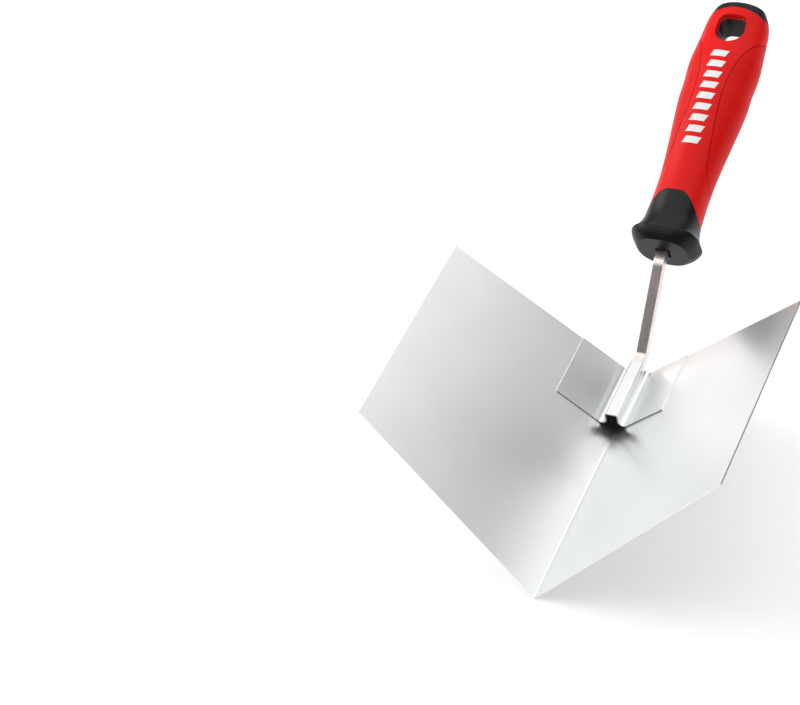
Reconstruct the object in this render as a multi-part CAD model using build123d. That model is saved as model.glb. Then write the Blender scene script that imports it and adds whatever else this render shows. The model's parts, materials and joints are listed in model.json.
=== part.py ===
from build123d import *
from math import cos, radians, sin, tan
import os

# Inside corner trowel, in millimetres. X is across the tool, the nose of the blade points
# towards -Y, the handle rises towards +Y, and the V of the blade opens towards +Z.
# The origin is the outer corner line of the blade, at its nose.

# Blade: one folded stainless sheet
WING_WIDTH = 101.6
FOLD_LENGTH = 127.0
WING_ANGLE = 49.7
BLADE_SHEET = 0.6
FOLD_INNER_RADIUS = 1.0
NOSE_TAPER = 24.6

# Saddle bracket: one strip that runs down one wing, over the shank and up the other wing
BRACKET_LENGTH = 33.0
BRACKET_REACH = 31.7
BRACKET_SHEET = 0.6
BRACKET_FOOT_RADIUS = 2.1
BRACKET_TOP_RADIUS = 0.9
BRACKET_CORNER_RADIUS = 1.0

# Shank: square steel bar, bent twice, whose upper end is the tang in the handle
BAR = 4.76
BAR_EDGE_RADIUS = 0.35
BAR_BEND_RADIUS = 6.0
BAR_REST_HEIGHT = 6.3
FIRST_BEND_Y = 132.5
RISE_ANGLE = 40.2

# Handle: modelled along its own axis (Y), then pitched and moved to where the shank ends
HANDLE_PITCH = 16.76
HANDLE_START_Y = 170.13
HANDLE_START_Z = 37.46
TANG_DEPTH = 74.0
SPIGOT_START = 2.0
SPIGOT_RADIUS = 8.0

# Sections of the grip: station along the handle, half width, half height, height of its middle
GRIP_STATIONS = {
    "in_collar": (8.0, 12.7, 12.3, 0.5),
    "throat": (20.0, 12.6, 12.1, 0.4),
    "neck": (33.0, 12.45, 11.8, 0.15),
    "rise": (45.0, 13.05, 12.1, 0.1),
    "lift": (57.0, 14.2, 12.75, 0.12),
    "swell": (69.0, 15.45, 13.3, 0.22),
    "full": (81.0, 16.3, 13.5, 0.45),
    "belly": (93.0, 16.7, 13.3, 0.8),
    "shoulder": (105.0, 16.4, 12.3, 1.05),
    "hole": (116.0, 15.5, 10.9, 1.3),
    "heel": (122.0, 14.7, 10.1, 2.0),
    "cap": (126.3, 13.1, 9.0, 3.1),
    "butt": (130.2, 10.8, 7.2, 4.4),
}
BUTT_RADIUS = 3.5
SKIN = 3.0
PANEL_THICKNESS = 1.5
PANEL_GAP = 0.35
PANEL_NEAR = 2.0
PANEL_FAR = 22.0
PANEL_EDGE_REACH = 7.0
PANEL_FRONT = 30.5
PANEL_BACK = 112.8
# Upper edge of a side panel: station along the handle, and angle up from the side
PANEL_EDGE = (
    (33.6, 29.5),
    (39.0, 41.0),
    (50.0, 49.5),
    (64.0, 57.5),
    (84.0, 63.3),
    (97.0, 60.0),
    (105.0, 50.0),
    (110.2, 33.0),
)

# Collar: rounded sections as station, half width, half height, corner radius. The guard's
# front widens to a rim, and its flare narrows from the rim to the grip.
COLLAR_MIDDLE_HEIGHT = 0.4
COLLAR_FRONT = ((0.0, 11.7, 10.8, 9.4), (2.4, 14.1, 12.3, 9.6), (6.0, 15.8, 13.3, 9.8))
COLLAR_FLARE = (
    (6.0, 15.8, 13.3, 9.8),
    (9.0, 13.9, 12.7, 10.8),
    (13.0, 12.9, 12.25, 11.4),
    (19.0, 12.62, 12.12, 11.7),
    (27.0, 12.5, 12.0, 11.6),
)
COLLAR_RIM_RADIUS = 0.8
COLLAR_SLOT_SIZE = 6.6
COLLAR_SLOT_DEPTH = 6.0

# Edges between the black and the red, where each is lowest, and how far the middle rises
COLLAR_EDGE = 15.5
COLLAR_EDGE_RISE = 10.4
CAP_EDGE = 122.5
CAP_EDGE_RISE = 3.3

# Hanging hole, D-shaped, square across the handle
HOLE_MIDDLE = 114.2
HOLE_LENGTH = 13.2
HOLE_WIDTH = 13.0
HOLE_CORNER_RADIUS = 3.0
HOLE_STRAIGHT = 5.0
HOLE_LIP_DEPTH = 1.7
HOLE_LIP_GROWTH = 1.0
HOLE_MOUTH_HEIGHT = -4.8
HOLE_MOUTH_ANGLE = 45.0

WING_SIN = sin(radians(WING_ANGLE))
WING_COS = cos(radians(WING_ANGLE))
FOLD_BASE = FOLD_INNER_RADIUS + BLADE_SHEET - FOLD_INNER_RADIUS / WING_SIN
BAR_HALF = BAR / 2

# Helpers for cutting and picking: a length past every part, how far a cut runs past the sheet's
# edge, how much two solids run into each other before they are joined, and a small distance
FAR = 200.0
CUT_MARGIN = 1.05
JOINT_OVERLAP = 1.0
NEARBY = 0.05


def on_wing(along, above):
    """Point of the right wing's section, by distance along the wing and above its inner face."""
    return (along * WING_SIN - above * WING_COS, along * WING_COS + above * WING_SIN + FOLD_BASE)


def left_of(point):
    """The same point of a section on the other side of the symmetry plane."""
    return (-point[0], point[1])


def strip_section(inner_path, outer_path):
    """Face between two open paths that start and end beside each other."""
    caps = Line(inner_path @ 0, outer_path @ 0) + Line(inner_path @ 1, outer_path @ 1)
    return make_face((inner_path + outer_path + caps).edges())


def make_blade():
    """One folded sheet whose nose is cut back towards the tips of its wings."""
    inner_end = on_wing(WING_WIDTH, 0)
    outer_end = on_wing(WING_WIDTH, -BLADE_SHEET)
    inner_corner = (0, FOLD_BASE)
    outer_corner = (0, FOLD_BASE - BLADE_SHEET / WING_SIN)
    inner = FilletPolyline(left_of(inner_end), inner_corner, inner_end, radius=FOLD_INNER_RADIUS)
    outer = FilletPolyline(
        left_of(outer_end), outer_corner, outer_end, radius=FOLD_INNER_RADIUS + BLADE_SHEET
    )
    folded = extrude(Plane.XZ * strip_section(inner, outer), amount=-FOLD_LENGTH)
    reach = inner_end[0] * CUT_MARGIN
    taper = NOSE_TAPER * CUT_MARGIN
    ahead = -taper
    nose_cut = Polygon(
        (0, 0), (-reach, taper), (-reach, ahead), (reach, ahead), (reach, taper), align=None
    )
    return folded - extrude(nose_cut, amount=FAR, both=True)


def make_saddle_bracket():
    """One bent strip with a foot on each wing and a channel over the shank."""
    wall = BAR_HALF + BRACKET_SHEET
    bar_top = BAR_REST_HEIGHT + BAR + FOLD_BASE
    foot_height = BAR_HALF * WING_COS / WING_SIN + FOLD_BASE
    outer_foot_height = (BRACKET_SHEET + wall * WING_COS) / WING_SIN + FOLD_BASE

    inner_right = [(BAR_HALF, bar_top), (BAR_HALF, foot_height), on_wing(BRACKET_REACH, 0)]
    outer_right = [
        (wall, bar_top + BRACKET_SHEET),
        (wall, outer_foot_height),
        on_wing(BRACKET_REACH, BRACKET_SHEET),
    ]
    foot = BRACKET_FOOT_RADIUS + BRACKET_SHEET
    top = BRACKET_TOP_RADIUS - BRACKET_SHEET
    inner = FilletPolyline(
        *[left_of(p) for p in reversed(inner_right)], *inner_right, radius=[foot, top, top, foot]
    )
    outer = FilletPolyline(
        *[left_of(p) for p in reversed(outer_right)],
        *outer_right,
        radius=[BRACKET_FOOT_RADIUS, BRACKET_TOP_RADIUS, BRACKET_TOP_RADIUS, BRACKET_FOOT_RADIUS],
    )
    start = FOLD_LENGTH - BRACKET_LENGTH
    strip = extrude(Plane.XZ.offset(-start) * strip_section(inner, outer), amount=-BRACKET_LENGTH)
    short_edges = strip.edges().filter_by(lambda edge: edge.length < BRACKET_SHEET + NEARBY)
    nose_edges = short_edges.filter_by(lambda edge: edge.center().Y < start + NEARBY)
    outer_corners = nose_edges.filter_by(lambda edge: abs(edge.center().X) > BRACKET_REACH / 2)
    return fillet(outer_corners, BRACKET_CORNER_RADIUS)


def handle_location():
    """Front of the handle's axis, pitched."""
    return Pos(0, HANDLE_START_Y, HANDLE_START_Z + FOLD_BASE) * Rot(HANDLE_PITCH, 0, 0)


def make_shank():
    """Square bar from the bracket's nose end to the end of its tang in the handle."""
    low = BAR_REST_HEIGHT + BAR_HALF + FOLD_BASE
    rise = tan(radians(RISE_ANGLE))
    pitch = tan(radians(HANDLE_PITCH))
    tang_front = handle_location().position
    tang_end = (handle_location() * Pos(0, TANG_DEPTH, 0)).position
    gap = tang_front.Z - low - (tang_front.Y - FIRST_BEND_Y) * pitch
    second_bend_y = FIRST_BEND_Y + gap / (rise - pitch)
    start = (0, FOLD_LENGTH - BRACKET_LENGTH, low)
    first_bend = (0, FIRST_BEND_Y, low)
    second_bend = (0, second_bend_y, low + (second_bend_y - FIRST_BEND_Y) * rise)
    path = FilletPolyline(start, first_bend, second_bend, tang_end, radius=BAR_BEND_RADIUS)
    section = Plane.XZ.offset(-start[1]) * Pos(0, low) * RectangleRounded(BAR, BAR, BAR_EDGE_RADIUS)
    return sweep(section, path=path)


def across(station):
    """Plane square to the handle's axis at a distance from its front, with its Y upwards."""
    return Plane.XZ.offset(-station)


def grip_section(station, half_width, half_height, middle, inset=0):
    """Ellipse of the grip at a station, or the same ellipse brought in by an inset."""
    return across(station) * Pos(0, middle) * Ellipse(half_width - inset, half_height - inset)


def make_grip_outside():
    """Whole outside of the grip, with its butt rounded."""
    form = loft([grip_section(*section) for section in GRIP_STATIONS.values()])
    butt_edge = form.edges().sort_by(Axis.Y)[-1]
    return fillet(butt_edge, BUTT_RADIUS)


def make_pocket_floor():
    """Form of the grip under the side panels."""
    sections = GRIP_STATIONS.values()
    return loft([grip_section(*section, inset=PANEL_THICKNESS) for section in sections])


def make_core_form():
    """Core under the sleeve, with the round spigot that the collar sits on."""
    names = list(GRIP_STATIONS)
    covered = names[names.index("neck") : names.index("cap") + 1]
    core = loft([grip_section(*GRIP_STATIONS[name], inset=SKIN) for name in covered])
    length = GRIP_STATIONS["neck"][0] + JOINT_OVERLAP - SPIGOT_START
    return core + extrude(across(SPIGOT_START) * Circle(SPIGOT_RADIUS), amount=-length)


def beyond_edge(station, rise):
    """Everything behind an arched edge, which is the same from above and below."""
    peak = station + rise
    height = GRIP_STATIONS["throat"][2]
    arch = Bezier((peak, height), (station - rise, 0), (peak, -height))
    frame = Polyline((peak, -height), (peak, -FAR), (FAR, -FAR), (FAR, FAR), (peak, FAR), (peak, height))
    return extrude(Plane.YZ * make_face((arch + frame).edges()), amount=FAR / 2, both=True)


def panel_face(reach, gap):
    """Outline of the right panel at a distance out from the handle's axis, seen from the side."""
    kept = 1 - gap / PANEL_EDGE_REACH
    heights = [(station, kept * reach * tan(radians(angle))) for station, angle in PANEL_EDGE]
    lower = [(station, -height) for station, height in reversed(heights)]
    front = (PANEL_FRONT + gap, 0)
    back = (PANEL_BACK - gap, 0)
    outline = make_face(Spline(front, *heights, back, *lower, periodic=True))
    return Plane.YZ.offset(reach) * outline


def panel_prism(gap):
    """Right panel's outline run outwards from the handle's axis, so that its edge stands square."""
    return loft([panel_face(PANEL_NEAR, gap), panel_face(PANEL_FAR, gap)], ruled=True)


def hole_outline(grow):
    """D shape, flat towards the butt and round towards the blade, drawn from above."""
    half = HOLE_WIDTH / 2 + grow
    back = HOLE_MIDDLE + HOLE_LENGTH / 2 + grow
    front = HOLE_MIDDLE - HOLE_LENGTH / 2 - grow
    straight = back - grow - HOLE_STRAIGHT
    arc = ThreePointArc((-half, straight), (0, front), (half, straight))
    frame = Polyline((-half, straight), (-half, back), (half, back), (half, straight))
    outline = make_face((arc + frame).edges())
    corners = outline.vertices().sort_by(Axis.Y)[-2:]
    return fillet(corners, HOLE_CORNER_RADIUS + grow)


def hole_mouth(start_height, end_height, growth):
    """Flared end of the hanging hole, from its plain outline to one that has grown."""
    narrow = Pos(0, 0, start_height) * hole_outline(0)
    wide = Pos(0, 0, end_height) * hole_outline(growth)
    return loft([narrow, wide])


def make_hanging_hole():
    """Hole with a narrow lip above and a wide mouth below."""
    station, half_width, half_height, middle = GRIP_STATIONS["hole"]
    lip_bottom = middle + half_height - HOLE_LIP_DEPTH
    mouth_depth = half_height + HOLE_MOUTH_HEIGHT
    mouth_growth = mouth_depth * tan(radians(HOLE_MOUTH_ANGLE))
    through = extrude(Pos(0, 0, -FAR / 4) * hole_outline(0), amount=FAR / 2)
    lip = hole_mouth(lip_bottom, lip_bottom + 2 * HOLE_LIP_DEPTH, 2 * HOLE_LIP_GROWTH)
    mouth = hole_mouth(HOLE_MOUTH_HEIGHT, HOLE_MOUTH_HEIGHT - mouth_depth, mouth_growth)
    return through + lip + mouth


def place(shape):
    """Shape modelled along the handle's axis, moved to where the handle is."""
    return handle_location() * shape


def square_hole(size, depth):
    """Straight square hole into the front of the handle, along its axis."""
    return extrude(across(0) * Rectangle(size, size), amount=-depth)


def collar_section(station, half_width, half_height, corner_radius):
    outline = RectangleRounded(2 * half_width, 2 * half_height, corner_radius)
    return across(station) * Pos(0, COLLAR_MIDDLE_HEIGHT) * outline


def make_collar_form():
    front = loft([collar_section(*section) for section in COLLAR_FRONT])
    flare = loft([collar_section(*section) for section in COLLAR_FLARE])
    rim_station = COLLAR_FLARE[0][0]
    form = front + flare
    rim = form.edges().filter_by_position(Axis.Y, rim_station - NEARBY, rim_station + NEARBY)
    return fillet(rim, COLLAR_RIM_RADIUS)


def make_handle_parts():
    outside = make_grip_outside()
    pocket_floor = make_pocket_floor()
    core_form = make_core_form()
    hole = make_hanging_hole()
    tang = square_hole(BAR, TANG_DEPTH)
    slot = square_hole(COLLAR_SLOT_SIZE, COLLAR_SLOT_DEPTH)
    behind_collar = beyond_edge(COLLAR_EDGE, COLLAR_EDGE_RISE)
    behind_sleeve = beyond_edge(CAP_EDGE, CAP_EDGE_RISE)
    right_pocket = panel_prism(0) - pocket_floor
    left_pocket = mirror(right_pocket, about=Plane.YZ)
    right_panel = (outside & panel_prism(PANEL_GAP)) - pocket_floor
    red = (outside & behind_collar) - behind_sleeve
    return {
        "handle_core": core_form - tang - slot - hole,
        "collar": make_collar_form() - behind_collar - core_form - tang - slot,
        "grip_sleeve": red - right_pocket - left_pocket - core_form - hole,
        "left_grip_panel": mirror(right_panel, about=Plane.YZ),
        "right_grip_panel": right_panel,
        "end_cap": (outside & behind_sleeve) - core_form - hole,
    }


parts = {
    "blade": make_blade(),
    "saddle_bracket": make_saddle_bracket(),
    "shank": make_shank(),
}
for node, shape in make_handle_parts().items():
    parts[node] = place(shape)

os.makedirs("parts", exist_ok=True)
for node, shape in parts.items():
    export_step(shape, f"parts/{node}.step")
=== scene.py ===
"""Looks of an inside corner trowel: finishes, printed mark, studio and camera."""

import json
import logging
from dataclasses import dataclass, field
from enum import Enum

import bmesh
import bpy
from mathutils import Matrix, Vector
from mathutils.bvhtree import BVHTree


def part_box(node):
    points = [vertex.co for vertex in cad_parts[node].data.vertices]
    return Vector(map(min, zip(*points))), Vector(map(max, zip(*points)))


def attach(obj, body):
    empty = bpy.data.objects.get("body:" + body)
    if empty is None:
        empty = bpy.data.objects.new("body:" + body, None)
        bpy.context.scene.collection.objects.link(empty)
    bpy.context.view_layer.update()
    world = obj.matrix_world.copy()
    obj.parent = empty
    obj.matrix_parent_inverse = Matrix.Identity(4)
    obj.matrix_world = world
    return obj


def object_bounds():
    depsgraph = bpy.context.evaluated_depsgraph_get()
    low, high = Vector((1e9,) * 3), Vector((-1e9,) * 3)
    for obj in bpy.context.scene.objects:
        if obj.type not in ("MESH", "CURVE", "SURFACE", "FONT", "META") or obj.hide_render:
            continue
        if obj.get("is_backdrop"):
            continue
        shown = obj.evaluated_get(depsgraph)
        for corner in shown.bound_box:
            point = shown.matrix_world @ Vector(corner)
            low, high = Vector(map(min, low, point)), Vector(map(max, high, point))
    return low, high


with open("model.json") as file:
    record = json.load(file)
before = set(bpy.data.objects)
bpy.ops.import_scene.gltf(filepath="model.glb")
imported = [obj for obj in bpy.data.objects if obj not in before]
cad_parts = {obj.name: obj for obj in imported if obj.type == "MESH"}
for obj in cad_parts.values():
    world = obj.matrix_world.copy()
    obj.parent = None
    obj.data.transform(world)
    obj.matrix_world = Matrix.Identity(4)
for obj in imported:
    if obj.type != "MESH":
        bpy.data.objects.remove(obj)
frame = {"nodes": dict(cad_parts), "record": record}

LOG = logging.getLogger("inside_corner_trowel")
MM = 0.001
BODY = "root"
# How deep the painted shade on a bar's end face reaches, how sharp the grain is, and where in its noise a
# scratch starts
END_SHADE_DEPTH = 0.2 * MM
GRAIN_ROUGHNESS = 0.55
BUMP_STRENGTH = 0.5
SCRATCH_FROM = 0.66
SCRATCH_FULL = 0.74


class Lay(Enum):
    """Which way a surface pattern runs, as the length of one grain along X, Y and Z."""

    EVEN = (1.0, 1.0, 1.0)
    ALONG_FOLD = (1.0, 60.0, 1.0)
    ALONG_BAR = (1.0, 45.0, 8.0)


def linear(colour: str) -> tuple[float, float, float, float]:
    """Turns an sRGB hex colour into linear light.

    Args:
        colour: Six hex digits, with or without a leading hash.

    Returns:
        Red, green, blue and an alpha of one.
    """
    digits = colour.lstrip("#")
    channels = [int(digits[i : i + 2], 16) / 255 for i in (0, 2, 4)]
    straight = [c / 12.92 if c <= 0.04045 else ((c + 0.055) / 1.055) ** 2.4 for c in channels]
    return (straight[0], straight[1], straight[2], 1.0)


def add_node(
    tree: bpy.types.NodeTree, kind: str, settings: dict | None = None, links: dict | None = None
) -> bpy.types.Node:
    """Adds one node with its settings and links.

    Args:
        tree: Node tree that gets the node.
        kind: Blender's name for the node type.
        settings: Values by socket name or number, or by property name.
        links: Source sockets by the name or number of the socket they feed.

    Returns:
        The new node.
    """
    node = tree.nodes.new(kind)
    for key, value in (settings or {}).items():
        if isinstance(key, str) and key not in node.inputs:
            setattr(node, key, value)
        else:
            node.inputs[key].default_value = value
    for key, source in (links or {}).items():
        tree.links.new(source, node.inputs[key])
    return node


@dataclass(frozen=True)
class Finish:
    """A real material and the process that made its surface.

    A fine grain carries the process marks, and soft clouds carry handling and wear.
    """

    name: str
    colour: str
    worn_colour: str
    roughness: float
    grain_mm: float
    grain_depth_mm: float
    grain_swing: float
    cloud_mm: float
    cloud_swing: float
    scratch_mm: float
    scratch_swing: float
    metallic: float = 0.0
    anisotropy: float = 0.0
    lay: Lay = Lay.EVEN
    gloss: float = 0.5
    glow: float = 0.0
    # Painted shade: a near-black colour for a bar's end face, empty for none.
    end_shade_colour: str = ""

    def noise(
        self,
        tree: bpy.types.NodeTree,
        place: bpy.types.NodeSocket,
        size_mm: float,
        lay: Lay,
        detail: float,
    ) -> bpy.types.NodeSocket:
        """Makes a noise whose grains have a real size.

        Args:
            tree: Node tree of the material.
            place: Object coordinates.
            size_mm: Grain size across the lay.
            lay: Direction and stretch of the grain.
            detail: Octaves of finer noise.

        Returns:
            The noise value.
        """
        scale = tuple(1 / (size_mm * MM * stretch) for stretch in lay.value)
        mapped = add_node(tree, "ShaderNodeMapping", {"Scale": scale}, {"Vector": place})
        settings = {"Scale": 1.0, "Detail": detail, "Roughness": GRAIN_ROUGHNESS}
        links = {"Vector": mapped.outputs["Vector"]}
        return add_node(tree, "ShaderNodeTexNoise", settings, links).outputs[0]

    def build(self, end_shade_before: float = 0.0) -> bpy.types.Material:
        """Builds the material's nodes.

        Args:
            end_shade_before: Y below which a bar's end face is painted dark as shade, if the finish has a
                painted shade colour.

        Returns:
            The material.
        """
        material = bpy.data.materials.new(self.name)
        material.use_nodes = True
        tree = material.node_tree
        tree.nodes.clear()
        place = add_node(tree, "ShaderNodeTexCoord").outputs["Object"]
        grain = self.noise(tree, place, self.grain_mm, self.lay, 3.0)
        cloud = self.noise(tree, place, self.cloud_mm, Lay.EVEN, 2.0)
        scratch = self.noise(tree, place, self.scratch_mm, Lay.ALONG_FOLD, 1.0)
        ends = {"To Min": self.roughness - self.grain_swing, "To Max": self.roughness + self.grain_swing}
        base = add_node(tree, "ShaderNodeMapRange", ends, {"Value": grain}).outputs[0]
        ends = {"To Min": -self.cloud_swing, "To Max": self.cloud_swing}
        handled = add_node(tree, "ShaderNodeMapRange", ends, {"Value": cloud}).outputs[0]
        ends = {"From Min": SCRATCH_FROM, "From Max": SCRATCH_FULL, "To Max": self.scratch_swing}
        scored = add_node(tree, "ShaderNodeMapRange", ends, {"Value": scratch}).outputs[0]
        soft = add_node(tree, "ShaderNodeMath", {"operation": "ADD"}, {0: base, 1: handled}).outputs[0]
        rough = add_node(
            tree, "ShaderNodeMath", {"operation": "ADD", "use_clamp": True}, {0: soft, 1: scored}
        ).outputs[0]
        colours = {"data_type": "RGBA", 6: linear(self.colour), 7: linear(self.worn_colour)}
        colour = add_node(tree, "ShaderNodeMix", colours, {0: cloud}).outputs[2]
        # Painted shade: below the given Y the bar's end face turns near-black, as if in shadow.
        if self.end_shade_colour:
            spot = add_node(tree, "ShaderNodeSeparateXYZ", None, {"Vector": place}).outputs["Y"]
            end_shade_mask = add_node(
                tree, "ShaderNodeMath", {"operation": "LESS_THAN", 1: end_shade_before}, {0: spot}
            ).outputs[0]
            colours = {"data_type": "RGBA", 7: linear(self.end_shade_colour)}
            colour = add_node(tree, "ShaderNodeMix", colours, {0: end_shade_mask, 6: colour}).outputs[2]
        relief = {"Strength": BUMP_STRENGTH, "Distance": self.grain_depth_mm * MM}
        bump = add_node(tree, "ShaderNodeBump", relief, {"Height": grain}).outputs[0]
        shader = add_node(
            tree,
            "ShaderNodeBsdfPrincipled",
            {
                "Metallic": self.metallic,
                "Anisotropic": self.anisotropy,
                "Specular IOR Level": self.gloss,
                "Emission Color": linear(self.colour),
                "Emission Strength": self.glow,
            },
            {"Base Color": colour, "Roughness": rough, "Normal": bump},
        )
        add_node(tree, "ShaderNodeOutputMaterial", None, {"Surface": shader.outputs[0]})
        return material


# Cold-rolled stainless sheet, finely brushed along the fold: satin, with faint lines. Real
# brushing lines are about 0.05 mm apart, drawn 0.35 mm apart so that they show.
BLADE_STEEL = Finish(
    "stainless_sheet_fine_brushed", "#EAEBEB", "#E3E4E5", 0.31, 0.35, 0.0015, 0.03, 38.0, 0.03,
    0.5, 0.02, metallic=1.0, anisotropy=0.35, lay=Lay.ALONG_FOLD,
)
# The same stainless as narrower strip, pressed: a little brighter on its bends.
BRACKET_STEEL = Finish(
    "stainless_strip_pressed", "#EBECEC", "#E2E3E4", 0.3, 0.35, 0.001, 0.02, 14.0, 0.03,
    0.5, 0.02, metallic=1.0, anisotropy=0.3, lay=Lay.ALONG_FOLD,
)
# Drawn square steel bar, bright plated: mirror-like patches with drawing lines along the bar.
# The lines are about 0.1 mm apart, drawn 0.4 mm apart. The bar's end face is painted near-black as shade,
# for the shadow it sits in inside the bracket's channel.
SHANK_STEEL = Finish(
    "drawn_steel_bright_plated", "#EFE5E0", "#E2D8D3", 0.27, 0.4, 0.002, 0.05, 9.0, 0.05,
    0.6, 0.05, metallic=1.0, anisotropy=0.2, lay=Lay.ALONG_BAR, end_shade_colour="#2A2725",
)
# Soft thermoplastic rubber over the core: satin from a spark-eroded mould. The grain is about
# 0.15 mm, drawn at 0.45 mm.
RED_RUBBER = Finish(
    "thermoplastic_rubber_moulded_red", "#EA100B", "#DF0C08", 0.42, 0.45, 0.012, 0.05, 22.0, 0.05,
    0.8, 0.05, gloss=0.16,
)
# The same rubber in the side panels, with a slightly coarser mould grain: a shade more matt.
PANEL_RUBBER = Finish(
    "thermoplastic_rubber_grained_red", "#E50F0A", "#D80B07", 0.47, 0.6, 0.02, 0.06, 18.0, 0.05,
    0.8, 0.05, gloss=0.14,
)
# Harder black rubber of the collar and the cap: satin, with broad soft highlights.
BLACK_RUBBER = Finish(
    "thermoplastic_rubber_moulded_black", "#0F1011", "#151617", 0.36, 0.45, 0.012, 0.05, 16.0, 0.06,
    0.8, 0.06, gloss=0.25,
)
# Injection-moulded polypropylene core, seen inside the slot and the hanging hole: dull black.
CORE_PLASTIC = Finish(
    "polypropylene_moulded_black", "#0F1011", "#151617", 0.5, 0.5, 0.01, 0.05, 12.0, 0.05,
    0.8, 0.04, gloss=0.2,
)
# Pad-printed ink: flat white, a little thin in places where hands rub it.
WHITE_INK = Finish(
    "ink_pad_printed_white", "#F6F5F3", "#ECEAE8", 0.5, 0.3, 0.003, 0.06, 9.0, 0.06,
    0.5, 0.05,
)
# Matt white acrylic of a light table, lit a little from below, which keeps shadows faint.
TABLE_ACRYLIC = Finish(
    "acrylic_sheet_matt_white", "#F1F1F1", "#EFEFEF", 0.9, 1.5, 0.01, 0.03, 300.0, 0.02, 4.0, 0.0,
    glow=0.38,
)


def dress(node: str, finish: Finish) -> None:
    """Gives a CAD node its finish.

    Args:
        node: Name of the CAD node.
        finish: What the node is made of.
    """
    shown = frame["nodes"][node]
    shown.data.materials.clear()
    # The painted shade on a bar's end reaches this far past the part's lowest Y.
    shown.data.materials.append(finish.build(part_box(node)[0].y + END_SHADE_DEPTH))
    LOG.info("%s is %s", node, finish.name)


def piece_from(mesh: bmesh.types.BMesh, name: str, finish: Finish) -> bpy.types.Object:
    """Turns a finished bmesh into an object at the origin.

    Args:
        mesh: Shape, already in its place. It is freed.
        name: Name of the piece.
        finish: What the piece is made of.

    Returns:
        The new object.
    """
    bmesh.ops.recalc_face_normals(mesh, faces=mesh.faces)
    data = bpy.data.meshes.new(name)
    mesh.to_mesh(data)
    mesh.free()
    data.materials.append(finish.build())
    made = bpy.data.objects.new(name, data)
    bpy.context.scene.collection.objects.link(made)
    return made


@dataclass
class Blade:
    """Folded stainless blade."""

    node: str = "blade"

    def dress(self) -> None:
        """Gives the sheet its brushed finish."""
        dress(self.node, BLADE_STEEL)


@dataclass
class Stem:
    """Saddle bracket and the square shank it holds."""

    nodes: dict[str, Finish] = field(
        default_factory=lambda: {"saddle_bracket": BRACKET_STEEL, "shank": SHANK_STEEL}
    )

    def dress(self) -> None:
        """Gives the bracket and the bar their finishes."""
        for node, finish in self.nodes.items():
            dress(node, finish)


@dataclass
class Grip:
    """Two-colour handle with a generic printed mark along its top."""

    nodes: dict[str, Finish] = field(
        default_factory=lambda: {
            "handle_core": CORE_PLASTIC,
            "collar": BLACK_RUBBER,
            "end_cap": BLACK_RUBBER,
            "grip_sleeve": RED_RUBBER,
            "left_grip_panel": PANEL_RUBBER,
            "right_grip_panel": PANEL_RUBBER,
        }
    )
    hole_station: float = 114.2 * MM
    hole_rise: float = 1.3 * MM
    mark_start: float = 50.5 * MM
    mark_width: float = 7.2 * MM
    bar_length: float = 3.4 * MM
    bar_gap: float = 2.4 * MM
    bar_count: int = 9
    bar_lean: float = 0.35
    ink_proud: float = 0.06 * MM
    ink_sunk: float = 0.02 * MM
    probe_height: float = 50 * MM

    def axis(self) -> Matrix:
        """Finds the handle's own frame from the hanging hole's mount.

        Returns:
            Matrix from the handle's frame (Y along it, Z up from it) to the row frame.
        """
        mount = next(m for m in frame["record"]["mounts"] if m["name"] == "hanging_hole")
        upward = Vector(mount["axis"]).normalized()
        side = Vector((1, 0, 0))
        along = upward.cross(side)
        turned = Matrix((side, along, upward)).transposed().to_4x4()
        front = Vector(mount["pos_m"]) - along * self.hole_station - upward * self.hole_rise
        return Matrix.Translation(front) @ turned

    def dress(self) -> None:
        """Gives each part of the handle its finish."""
        for node, finish in self.nodes.items():
            dress(node, finish)

    def build_mark(self) -> bpy.types.Object:
        """Prints a row of leaning bars on the sleeve, following its curve.

        Returns:
            The printed mark.
        """
        place = self.axis()
        back = place.inverted()
        sleeve = frame["nodes"]["grip_sleeve"].data
        spots = [back @ v.co for v in sleeve.vertices]
        surface = BVHTree.FromPolygons(spots, [tuple(p.vertices) for p in sleeve.polygons])
        mark = bmesh.new()
        for number in range(self.bar_count):
            middle = self.mark_start + self.bar_length / 2 + number * (self.bar_length + self.bar_gap)
            made = bmesh.ops.create_grid(mark, x_segments=14, y_segments=6, size=0.5)["verts"]
            size = Matrix.Diagonal((self.mark_width, self.bar_length, 1, 1))
            lean = Matrix.Shear("XZ", 4, (self.bar_lean, 0))
            bmesh.ops.transform(mark, matrix=Matrix.Translation((0, middle, 0)) @ lean @ size, verts=made)
        for vert in mark.verts:
            hit = surface.ray_cast(Vector((vert.co.x, vert.co.y, self.probe_height)), Vector((0, 0, -1)))[0]
            vert.co.z = hit.z + self.ink_proud
        grown = bmesh.ops.extrude_face_region(mark, geom=mark.faces[:])["geom"]
        lower = [v for v in grown if isinstance(v, bmesh.types.BMVert)]
        bmesh.ops.translate(mark, vec=(0, 0, -self.ink_proud - self.ink_sunk), verts=lower)
        bmesh.ops.transform(mark, matrix=place, verts=mark.verts[:])
        made = piece_from(mark, "printed_mark", WHITE_INK)
        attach(made, BODY)
        LOG.info("built %s", made.name)
        return made


@dataclass
class Softbox:
    """Square studio light aimed at a point of the object."""

    name: str
    position: tuple[float, float, float]
    size: float
    power: float
    target: tuple[float, float, float] = (0.0, 0.12, 0.04)

    def build(self) -> None:
        """Hangs the light and aims it."""
        lamp = bpy.data.lights.new(self.name, "AREA")
        lamp.energy = self.power
        lamp.size = self.size
        held = bpy.data.objects.new(self.name, lamp)
        bpy.context.scene.collection.objects.link(held)
        held.location = self.position
        held.rotation_euler = (Vector(self.target) - held.location).to_track_quat("-Z", "Y").to_euler()


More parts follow.
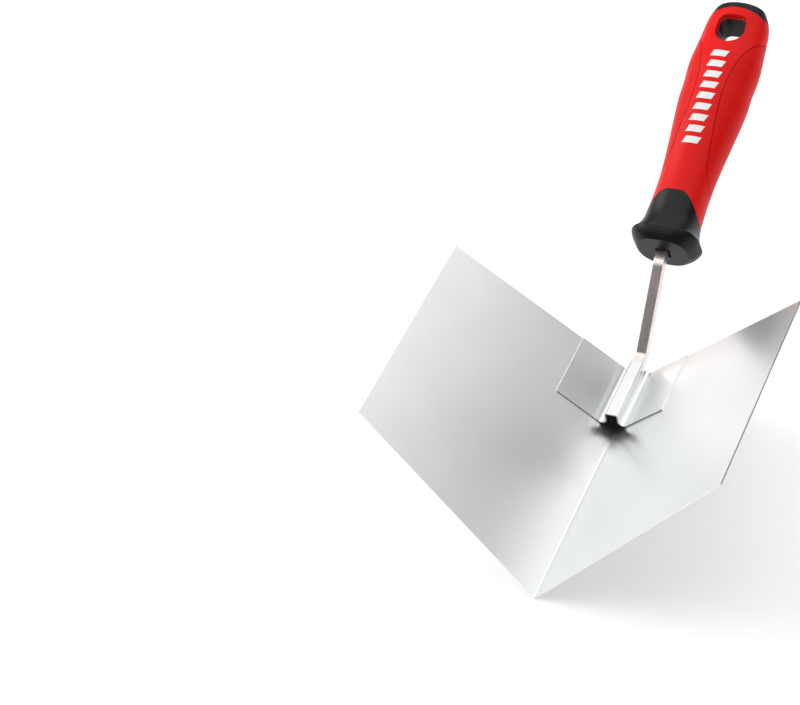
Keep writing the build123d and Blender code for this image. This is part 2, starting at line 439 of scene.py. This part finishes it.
@dataclass
class Studio:
    """White table, soft lights and the camera."""

    floor_reach: float = 4.0
    floor_gap: float = 0.2 * MM
    sensor_width: float = 36.0
    sky: str = "#E9EBEE"
    sky_strength: float = 0.22
    lens: float = 98.145
    camera_position: tuple[float, float, float] = (0.30455, -0.48209, 0.69407)
    camera_forward: tuple[float, float, float] = (-0.41561, 0.59447, -0.68839)
    camera_up: tuple[float, float, float] = (-0.16577, 0.69466, 0.69997)
    lights: tuple[Softbox, ...] = (
        Softbox("overhead_softbox", (0.2, 0.95, 1.2), 2.6, 22.5, (0.2, 0.95, 0.0)),
        Softbox("key_softbox", (-1.1, 0.25, 0.75), 0.9, 10.0),
        Softbox("back_softbox", (0.16, 0.42, 0.49), 0.38, 0.11),
    )

    def build_floor(self) -> None:
        """Lays the table's white top under the object."""
        top = bmesh.new()
        bmesh.ops.create_grid(top, x_segments=8, y_segments=8, size=self.floor_reach)
        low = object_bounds()[0][2]
        bmesh.ops.translate(top, vec=(0, 0, low - self.floor_gap), verts=top.verts[:])
        piece_from(top, "floor", TABLE_ACRYLIC)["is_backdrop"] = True

    def build_light(self) -> None:
        """Sets the surrounding light and hangs the softboxes."""
        world = bpy.data.worlds.new("studio")
        world.use_nodes = True
        surround = world.node_tree.nodes["Background"]
        surround.inputs["Color"].default_value = linear(self.sky)
        surround.inputs["Strength"].default_value = self.sky_strength
        bpy.context.scene.world = world
        for light in self.lights:
            light.build()
        bpy.context.scene.view_settings.view_transform = "Standard"

    def build_camera(self) -> None:
        """Places the camera at its measured position and direction."""
        lens = bpy.data.cameras.new("camera")
        lens.sensor_width = self.sensor_width
        lens.sensor_fit = "HORIZONTAL"
        lens.lens = self.lens
        lens.clip_start = 0.01
        forward = Vector(self.camera_forward).normalized()
        right = forward.cross(Vector(self.camera_up)).normalized()
        turned = Matrix((right, right.cross(forward), -forward)).transposed().to_4x4()
        held = bpy.data.objects.new("camera", lens)
        bpy.context.scene.collection.objects.link(held)
        held.matrix_world = Matrix.Translation(self.camera_position) @ turned
        bpy.context.scene.camera = held


def main() -> None:
    """Builds the trowel's looks and the studio."""
    logging.basicConfig(level=logging.INFO)
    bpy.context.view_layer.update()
    Blade().dress()
    Stem().dress()
    grip = Grip()
    grip.dress()
    grip.build_mark()
    studio = Studio()
    studio.build_floor()
    studio.build_light()
    studio.build_camera()


if __name__ == "__main__":
    main()
